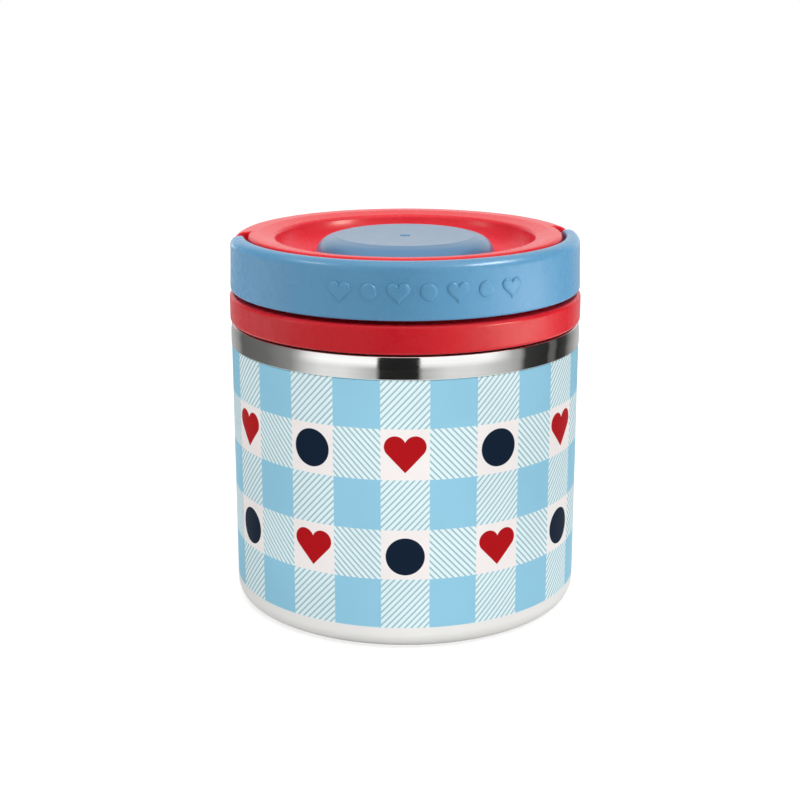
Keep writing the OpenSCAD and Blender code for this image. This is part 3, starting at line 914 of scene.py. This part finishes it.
def handle_piece(name, s, turn):
    """A half-ring band with rounded edges, whose ends are round above the pivot and stand upright below it."""
    reach, pivot = s.pivot_drop, s.high - s.pivot_drop
    long_steps, arc_steps, back_steps, tail_steps = 96, 8, 3, 4
    end_steps = arc_steps + back_steps + tail_steps + 1
    points, rings = [], []

    def tail_reach(o):
        """How far behind the pivot the lower edge of an outline runs."""
        return math.sqrt((s.tail - o) ** 2 - (pivot - s.low - o) ** 2)

    def end_spot(k, o):
        """A point of an end's outline from the top to the lower edge, as distance behind the pivot and height."""
        if k <= arc_steps:
            b = math.pi / 2 * k / arc_steps
            return (reach - o) * math.sin(b), pivot + (reach - o) * math.cos(b)
        far = math.asin((reach - o) / (s.tail - o))
        k -= arc_steps
        if k <= back_steps:
            return reach - o, pivot - (s.tail - o) * math.cos(far) * k / (back_steps + 1)
        near = math.asin(tail_reach(o) / (s.tail - o))
        b = far + (near - far) * (k - back_steps - 1) / tail_steps
        return (s.tail - o) * math.sin(b), pivot - (s.tail - o) * math.cos(b)

    # Part of the outline that each point lies on, and how far along it is
    spots = [("top", k / long_steps) for k in range(long_steps + 1)]
    spots += [("right", k) for k in range(1, end_steps)]
    spots += [("low", 1 - k / long_steps) for k in range(long_steps + 1)]
    spots += [("left", end_steps - k) for k in range(1, end_steps)]
    total = len(spots)

    def roundings(first, last):
        """A rounding for each point of the outline, from the upper edge's to the lower edge's."""
        blends = [{"top": 0.0, "low": 1.0}.get(part, t / end_steps) for part, t in spots]
        return [first + (last - first) * blend for blend in blends]

    def ring(inward, radii, draft=0.0):
        """One outline round the band, some way in from the edge and at some radius."""
        first = len(points)
        for (part, t), o, r in zip(spots, inward, radii):
            if part in ("top", "low"):
                y = -s.pivot_front + (tail_reach(o) if part == "low" else 0.0)
                z = s.high - o if part == "top" else s.low + o
            else:
                y, z = end_spot(t, o)
                y -= s.pivot_front
            r += draft * (s.high - z) / (s.high - s.low)
            if part in ("top", "low"):
                a = (math.pi / 2 + math.asin(y / r)) * (2 * t - 1)
                points.append((r * math.sin(a), -r * math.cos(a), z))
            else:
                points.append((math.copysign(math.sqrt(r * r - y * y), 1 if part == "right" else -1), y, z))
        rings.append(range(first, len(points)))

    outer, inner = roundings(s.round_top, s.round_low), roundings(s.inner_top, s.inner_low)
    hold, gap, outer_steps, inner_steps = 0.25 * MM, 0.1 * MM, 7, 5
    ring([o + hold for o in outer], [s.outer] * total, s.draft)
    for i in range(outer_steps + 1):
        a = math.pi / 2 * i / outer_steps
        ring([o * (1 - math.sin(a)) for o in outer], [s.outer - o * (1 - math.cos(a)) for o in outer], s.draft)
    ring([0.0] * total, [s.outer - o - gap for o in outer], s.draft)
    ring([0.0] * total, [s.inner + o + gap for o in inner])
    for i in range(inner_steps + 1):
        a = math.pi / 2 * (inner_steps - i) / inner_steps
        ring([o * (1 - math.sin(a)) for o in inner], [s.inner + o * (1 - math.cos(a)) for o in inner])
    ring([o + hold for o in inner], [s.inner] * total)
    faces = strips(rings)
    half, turned = (end_steps - 1) // 2, long_steps + end_steps
    for row in (rings[0], rings[-1]):
        row = list(row)
        right, left = row[long_steps + 1:turned], row[turned + long_steps + 1:]
        high_chain = left[-half:] + row[:long_steps + 1] + right[:half]
        low_chain = left[:half][::-1] + row[turned:turned + long_steps + 1][::-1] + right[::-1][:half]
        faces += strips([high_chain, low_chain], wrap=False)
        faces += [(high_chain[-1], right[half], low_chain[-1]), (high_chain[0], left[half], low_chain[0])]
    return closed_piece(name, points, faces, turn=turn)


def cut_holes(piece, s, handle):
    """Cuts the two pivot bores through the lid's wall."""
    deep, inset = 8 * MM, 2 * MM
    cutters = []
    for side in (-1, 1):
        work = bmesh.new()
        bmesh.ops.create_cone(
            work, cap_ends=True, segments=40, radius1=s.pivot_bore, radius2=s.pivot_bore, depth=deep)
        place = Matrix.Rotation(s.turn, 4, "Z") @ Matrix.Translation(
            (side * (s.core_radius - inset), -handle.pivot_front, handle.high - handle.pivot_drop))
        bmesh.ops.transform(work, verts=work.verts, matrix=place @ Matrix.Rotation(math.pi / 2, 4, "Y"))
        mesh = bpy.data.meshes.new("bore")
        work.to_mesh(mesh)
        work.free()
        cutters.append(link("bore", mesh))
        cut = piece.modifiers.new("bore", "BOOLEAN")
        cut.operation = "DIFFERENCE"
        cut.solver = "EXACT"
        cut.object = cutters[-1]
    settled(piece)
    for cutter in cutters:
        mesh = cutter.data
        bpy.data.objects.remove(cutter)
        bpy.data.meshes.remove(mesh)


# Operators, one for each piece or group

class LUNCHJAR_OT_stage(Operator):
    """Sets up the camera, the floor and the light"""
    bl_idname = "lunchjar.stage"
    bl_label = "Stage"
    lid_height = 90 * MM

    def execute(self, context):
        s = context.scene.lunch_jar.stage
        context.scene.view_settings.view_transform = "Standard"
        lens = bpy.data.cameras.new("camera")
        lens.lens = s.lens
        lens.sensor_width = 36
        lens.shift_x = s.shift
        lens.clip_start = 0.01
        camera = link("camera", lens)
        camera.location = (0, -s.distance * math.cos(s.rise), s.aim + s.distance * math.sin(s.rise))
        camera.rotation_euler = (math.pi / 2 - s.rise, 0, 0)
        context.scene.camera = camera
        self.light_world(context.scene, s)
        self.lay_floor(s)
        self.stand_screen()
        skin, button = ("printed_coat_skin",), ("press_button",)
        cap, bow = ("lid_body",), ("handle_band", "handle_motifs")
        shell = cap + bow
        self.hang_overhead(s, button)
        full, dull, shiny = (True, True), (False, True), (True, False)
        for lamp in (
                ("key", s.key, shell, dull, 35, 45, 0.8, 0.35, 0.35),
                ("right", s.right, shell, dull, 62, -8, 0.33, 0.3, 0.08),
                ("sheen", s.sheen, shell, shiny, 80, -10, 0.33, 0.26, 0.08),
                ("left", s.left, shell, full, -110, -8, 0.33, 0.5, 0.08),
                ("high_right", s.high_right, bow, shiny, 67, 42, 0.8, 0.35, 0.2),
                ("high_left", s.high_left, bow, shiny, -70, 42, 0.8, 0.25, 0.15),
                ("streak_right", s.streak_right, cap, shiny, 62, 11, 0.8, 0.22, 0.04),
                ("streak_left", s.streak_left, cap, shiny, -74, 11, 0.8, 0.25, 0.04),
                ("dish", s.dish, shell, dull, -85, 45, 0.8, 0.3, 0.3),
                ("brow", s.brow, cap, dull, 45, 28, 0.8, 0.3, 0.3),
                ("front_left", s.front, skin + button, full, -45, 20, 1.0, 0.5, 0.5),
                ("front_right", s.front, skin + button, full, 48, 20, 1.0, 0.5, 0.5),
                ("back", s.back, shell + skin, dull, 180, 36, 0.9, 0.6, 0.6)):
            self.hang_lamp(*lamp)
        return {"FINISHED"}

    def seen(self, w):
        """1 for rays from the camera, from gloss and through glass."""
        rays = w.taps(w.node("ShaderNodeLightPath"))
        both = rays["Is Camera Ray"] + rays["Is Glossy Ray"]
        return w.math("ADD", both, rays["Is Transmission Ray"], clamp=True)

    def light_world(self, scene, s):
        """A white world that lights the jar less than it shows."""
        world = bpy.data.worlds.new("studio")
        world.use_nodes = True
        scene.world = world
        w = Wiring(world.node_tree)
        ground = next(n for n in world.node_tree.nodes if n.type == "BACKGROUND")
        w.fill(ground, Color=(1, 1, 1, 1), Strength=self.seen(w) * (1.0 - s.ambient) + s.ambient)

    def lay_floor(self, s):
        """A wide pale floor just under the jar's foot."""
        work = bmesh.new()
        bmesh.ops.create_circle(work, cap_ends=True, segments=96, radius=3.0)
        mesh = bpy.data.meshes.new("floor")
        work.to_mesh(mesh)
        work.free()
        floor = link("floor", mesh)
        floor.location.z = -0.2 * MM
        w = Paint("Pale floor")
        fleck = w.noise(w.place(), 40.0)
        mesh.materials.append(w.look(
            Base_Color=w.mix(fleck, (0.80, 0.80, 0.80), (0.84, 0.84, 0.84)), Roughness=0.9, Specular_IOR_Level=0.0,
            Emission_Color=(1, 1, 1, 1), Emission_Strength=self.seen(w) * s.floor_glow))

    def stand_screen(self):
        """A bent screen with dark and light bands, which only gloss shows."""
        bands = ((-180, 0.6), (-150, 0.45), (-140, 0.35), (-132, 0.14), (-100, 0.18), (-78, 0.32), (-66, 0.75),
                 (-55, 1.0), (-40, 1.0), (-27, 0.75), (-19, 0.6), (-16, 0.02), (8, 0.02), (11, 0.6), (17, 0.72),
                 (28, 0.95), (45, 0.95), (70, 0.6), (78, 0.45), (83, 0.05), (104, 0.03), (107, 0.15), (112, 0.15),
                 (116, 0.03), (127, 0.06), (137, 0.33), (150, 0.55), (180, 0.7))
        jar, gap, dim, glow = 52 * MM, 240 * MM, 0.4, 1.35
        points, shades, rows = [], [], []
        for turn in range(-180, 181):
            half, full = math.radians(turn / 2), math.radians(turn)
            x = jar * math.sin(half) + gap * math.sin(full)
            y = -jar * math.cos(half) - gap * math.cos(full)
            after = next(k for k in range(1, len(bands)) if turn <= bands[k][0])
            (a0, v0), (a1, v1) = bands[after - 1:after + 1]
            low = v0 + (v1 - v0) * (turn - a0) / (a1 - a0)
            lift = max(0.0, min(1.0, (72 - abs(turn)) / 18)) if low > dim else 0.0
            high = low + (glow - low) * lift
            tall = 350 if low < dim else 200 if abs(turn) < 100 else 86
            rows.append(range(len(points), len(points) + 4))
            points += [(x, y, z * MM) for z in (0, 30, 85, tall)]
            shades += [low, low, high, high]
        mesh = bpy.data.meshes.new("screen")
        mesh.from_pydata(points, [], strips(rows, wrap=False))
        mesh.attributes.new("shade", "FLOAT", "POINT").data.foreach_set("value", shades)
        w = Paint("Banded screen")
        mesh.materials.append(w.look(
            Base_Color=(0, 0, 0, 1), Specular_IOR_Level=0.0, Emission_Color=(1, 1, 1, 1),
            Emission_Strength=w.out(w.node("ShaderNodeAttribute", attribute_name="shade"), "Fac")))
        screen = link("screen", mesh)
        for rays in ("camera", "diffuse", "shadow", "transmission"):
            setattr(screen, "visible_" + rays, False)

    def hang_overhead(self, s, spared):
        """A broad light from above for all but a few pieces."""
        lamp = bpy.data.lights.new("overhead", "SUN")
        lamp.energy = s.overhead
        lamp.angle = math.radians(70)
        hung = link("overhead", lamp)
        hung.rotation_euler = (math.radians(8), math.radians(12), 0)
        for entry in self.aim_at(hung, spared).collection_objects:
            entry.light_linking.link_state = "EXCLUDE"

    def hang_lamp(self, name, watts, pieces, rays, turn, rise, distance, width, height):
        """A flat lamp aimed at the jar, for some of its pieces and for gloss, for dull light or for both."""
        lamp = bpy.data.lights.new(name, "AREA")
        lamp.shape = "RECTANGLE"
        lamp.size, lamp.size_y = width, height
        lamp.energy = watts
        hung = link(name, lamp)
        around, up = math.radians(turn), math.radians(rise)
        arm = Vector((math.sin(around) * math.cos(up), -math.cos(around) * math.cos(up), math.sin(up)))
        hung.location = Vector((0, 0, self.lid_height)) + distance * arm
        hung.rotation_euler = (-arm).to_track_quat("-Z", "Y").to_euler()
        hung.visible_glossy, hung.visible_diffuse = rays
        self.aim_at(hung, pieces)

    def aim_at(self, hung, pieces):
        """Links a lamp to some pieces."""
        aimed = bpy.data.collections.new(hung.name)
        for piece in pieces:
            aimed.objects.link(bpy.data.objects[piece])
        hung.light_linking.receiver_collection = aimed
        return aimed


class LUNCHJAR_OT_steel_jar(Operator):
    """Turns the steel shell with its shoulder and neck, and winds the thread ridges"""
    bl_idname = "lunchjar.steel_jar"
    bl_label = "Steel jar"

    def execute(self, context):
        settings = context.scene.lunch_jar
        s = settings.jar
        metal = steel("Polished steel", settings.finish.steel, 0.07, depth=0.0008 * MM, vary=0.02)
        r, neck, t, wide = s.shell_radius, s.neck_radius, s.sheet, s.band_radius
        foot_in, step, fine = r - s.foot_round - s.foot_width, s.print_top + wide - r, 0.1 * MM
        crown = arc(wide - s.band_bend, s.shoulder - s.band_crown, s.band_bend, 0, 12, 8)
        path = rounded([
            (foot_in, 0, 0.25 * MM), (r, 0, s.foot_round), (r, s.print_top, 0), (wide, step, fine),
            *((x, z, 0) for x, z in crown), (crown[-1][0] - fine, s.shoulder, 0.4 * MM),
            (neck, s.shoulder, 0.5 * MM), (neck, s.lip, fine), (neck - t, s.lip, fine),
            (neck - t, s.shoulder - t, 0), (wide - t, s.shoulder - t, 0.2 * MM), (wide - t, step, 0),
            (r - t, s.print_top, 0), (r - t, t, s.foot_round - t), (foot_in, t, 0.25 * MM)])
        finish_piece(lathe("steel_shell", path), metal, "jar", "steel", "outer_shell")
        ridges = grown("neck_thread", thread_tree(), {
            "Radius": neck - s.ridge_sink, "Depth": s.ridge_depth, "Half height": s.ridge_half, "Low": s.ridge_low,
            "Rise": s.ridge_rise, "Turn": s.ridge_turn, "Starts": s.ridge_starts, "Material": metal})
        finish_piece(ridges, metal, "jar", "steel")
        return {"FINISHED"}


class LUNCHJAR_OT_printed_coat(Operator):
    """Turns the white lacquer and prints its check, hearts and dots"""
    bl_idname = "lunchjar.printed_coat"
    bl_label = "Printed coat"

    def execute(self, context):
        settings = context.scene.lunch_jar
        s = settings.jar
        foot, sink = s.foot_round, 0.05 * MM
        outer, inner = (arc(s.shell_radius - foot, foot, foot + thick, -70, 0, 14)
                        for thick in (s.coat_radius - s.shell_radius, -sink))
        top = rounded([(*outer[-1], 0), (s.coat_radius, s.print_top, 0.12 * MM), (inner[-1][0], s.print_top, 0)],
                      closed=False, segments=4, hold=0.03 * MM)[1:]
        path = outer + [(s.coat_radius, foot + 0.3 * MM)] + top + inner[::-1]
        coat = lathe("printed_coat_skin", path, steps=256)
        paint = printed_lacquer("Printed lacquer", settings.print, s)
        finish_piece(coat, paint, "jar", "lacquer_print", "printed_coat")
        return {"FINISHED"}


class LUNCHJAR_OT_inner_jar(Operator):
    """Gives the pot, foil, base, bead and getter their metals"""
    bl_idname = "lunchjar.inner_jar"
    bl_label = "Inner jar"

    def execute(self, context):
        f = context.scene.lunch_jar.finish
        dress(steel("Satin inner steel", f.bright, 0.24, 7000.0, 0.006 * MM, 30.0), "inner_pot", "getter_strap")
        dress(steel("Spun base steel", f.steel, 0.26, 3500.0, 0.012 * MM, 20.0), "base_plate")
        dress(wrinkled_foil("Wrapped foil", f.bright), "radiation_foil")
        dress(cast_metal("Brazing glass", f.braze, 0.6, 0.4), "sealing_bead", "getter")
        return {"FINISHED"}


class LUNCHJAR_OT_lid(Operator):
    """Makes the red lid with its rim, dish, well and back wall, and dresses what is inside it"""
    bl_idname = "lunchjar.lid"
    bl_label = "Lid"

    def execute(self, context):
        settings = context.scene.lunch_jar
        s, f = settings.lid, settings.finish
        # The lid's collar gets painted shade and its dish gets painted light through the zones.
        red = plastic("Red moulded plastic", f.red, 0.28, 0.25, gleam=(1.0, 0.9, 0.76),
                      painted_shade_and_light_zones=((f.red_painted_shade, s.ledge), (f.red_painted_light, s.dish_radius)))
        lid = lid_piece("lid_body", s)
        soften = lid.modifiers.new("edge", "BEVEL")
        soften.limit_method = "WEIGHT"
        soften.width = s.stop_edge
        soften.segments = 3
        soften.use_clamp_overlap = False
        settled(lid)
        cut_holes(lid, s, settings.handle)
        finish_piece(lid, red, "lid", "red_plastic", "lid_shell")
        dress(plastic("White moulded plastic", f.white, 0.42), "lid_liner")
        dress(cellular_foam("Cut foam", f.foam), "lid_foam")
        dress(soft_rubber("Gasket silicone", f.silicone, 0.5), "mouth_gasket")
        return {"FINISHED"}


class LUNCHJAR_OT_handle(Operator):
    """Makes the blue swing handle with its raised row of hearts and dots, and dresses its pins"""
    bl_idname = "lunchjar.handle"
    bl_label = "Handle"

    def execute(self, context):
        settings = context.scene.lunch_jar
        s, f, turn = settings.handle, settings.finish, settings.lid.turn
        blue = plastic("Blue moulded plastic", f.blue, 0.28)
        finish_piece(handle_piece("handle_band", s, turn), blue, "handle", "blue_plastic", "handle")
        row = grown("handle_motifs", motif_tree(), {
            "Count": s.motifs, "Step": s.motif_step, "Face": s.outer + s.draft / 2, "Height": (s.low + s.high) / 2,
            "Size": s.motif_size, "Rise": s.motif_rise, "Turn": turn, "Material": blue})
        finish_piece(row, blue, "handle", "blue_plastic")
        pin = steel("Ground pin steel", f.bright, 0.2, 9000.0, 0.003 * MM, 60.0)
        dress(pin, "handle_pin_left", "handle_pin_right")
        return {"FINISHED"}


class LUNCHJAR_OT_vent(Operator):
    """Turns the press button with its hollowed top, winds its spring and dresses the stem, seal and clip"""
    bl_idname = "lunchjar.vent"
    bl_label = "Press vent"

    def execute(self, context):
        settings = context.scene.lunch_jar
        s, f = settings.vent, settings.finish
        lip_z = s.top - s.lip_drop
        middle = lip_z - s.hollow
        # Share of the mark's radius, and depth in millimetres
        mark = ((0, 0.95), (0.6, 0.92), (0.84, 0.75), (0.93, 0.3), (1, 0.03), (1.12, 0.006))
        path = [(s.dimple * out, middle - deep * MM) for out, deep in mark]
        flat = [(s.lip * k / 12, middle + s.hollow * (k / 12) ** 2) for k in range(2, 12)]
        path += [p for p in flat if p[0] > s.dimple * 1.3]
        within, under = s.radius - s.wall, s.top - s.roof
        boss_low, stem_top = s.top - s.boss_drop, s.top - s.stem_drop
        side = rounded([
            (*flat[-1], 0), (s.lip, lip_z, 0.3 * MM),
            (s.radius, lip_z - (s.radius - s.lip) * math.tan(s.slant), s.edge), (s.radius, s.low, 0.4 * MM),
            (within, s.low, 0.4 * MM), (within, under, s.edge - s.wall), (s.boss, under, 0.3 * MM),
            (s.boss, boss_low, 0.2 * MM), (s.stem, boss_low, 0), (s.stem, stem_top, 0), (0, stem_top, 0)],
            closed=False, segments=12)
        button = lathe("press_button", path + side[1:], closed=False)
        blue = plastic("Button plastic", f.button, 0.3, coat=0.35)
        finish_piece(button, blue, "vent", "button_plastic", "vent_button")
        dress(plastic("White stem plastic", f.white, 0.4), "vent_stem")
        dress(soft_rubber("Vent silicone", f.silicone, 0.48), "vent_seal")
        dress(steel("Spring clip steel", f.bright, 0.22, 9000.0, 0.003 * MM, 60.0), "vent_clip")
        self.wind_spring(s, steel("Spring wire", f.bright, 0.18, 12000.0, 0.003 * MM, 80.0))
        return {"FINISHED"}

    def wind_spring(self, s, metal):
        """The coil under the button."""
        low, high, out = (corner("vent_spring", end, axis) * MM for end, axis in ((0, 2), (1, 2), (1, 0)))
        coil = grown("vent_coil", thread_tree(), {
            "Radius": out - s.wire, "Depth": s.wire, "Half height": s.wire, "Low": low + s.wire,
            "Rise": high - low - 2 * s.wire, "Turn": 2 * math.pi * s.coils, "Starts": 1, "Material": metal})
        finish_piece(coil, metal, "lid", "spring_steel", "vent_spring")
        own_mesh(coil)


class LUNCHJAR_PT_panel(Panel):
    """Lists the lunch jar's pieces and settings"""
    bl_label = "Lunch Jar"
    bl_idname = "LUNCHJAR_PT_panel"
    bl_space_type = "VIEW_3D"
    bl_region_type = "UI"
    bl_category = "Lunch Jar"

    def draw(self, context):
        for piece in PIECES:
            self.layout.operator(piece.bl_idname)
        settings = context.scene.lunch_jar
        for group in JarSettings.__annotations__:
            box = self.layout.box()
            box.label(text=group.title())
            part = getattr(settings, group)
            for key in part.__annotations__:
                box.prop(part, key)


PIECES = (
    LUNCHJAR_OT_steel_jar, LUNCHJAR_OT_printed_coat, LUNCHJAR_OT_inner_jar, LUNCHJAR_OT_lid, LUNCHJAR_OT_handle,
    LUNCHJAR_OT_vent, LUNCHJAR_OT_stage,
)
CLASSES = (
    JarSizes, PrintLook, LidSizes, HandleSizes, VentSizes, Finishes, StageLook, JarSettings, *PIECES,
    LUNCHJAR_PT_panel,
)


def register():
    for item in CLASSES:
        bpy.utils.register_class(item)
    bpy.types.Scene.lunch_jar = PointerProperty(type=JarSettings)


def unregister():
    del bpy.types.Scene.lunch_jar
    for item in reversed(CLASSES):
        bpy.utils.unregister_class(item)


def main():
    register()
    bpy.ops.lunchjar.steel_jar()
    bpy.ops.lunchjar.printed_coat()
    bpy.ops.lunchjar.inner_jar()
    bpy.ops.lunchjar.lid()
    bpy.ops.lunchjar.handle()
    bpy.ops.lunchjar.vent()
    bpy.ops.lunchjar.stage()


if __name__ == "__main__":
    main()
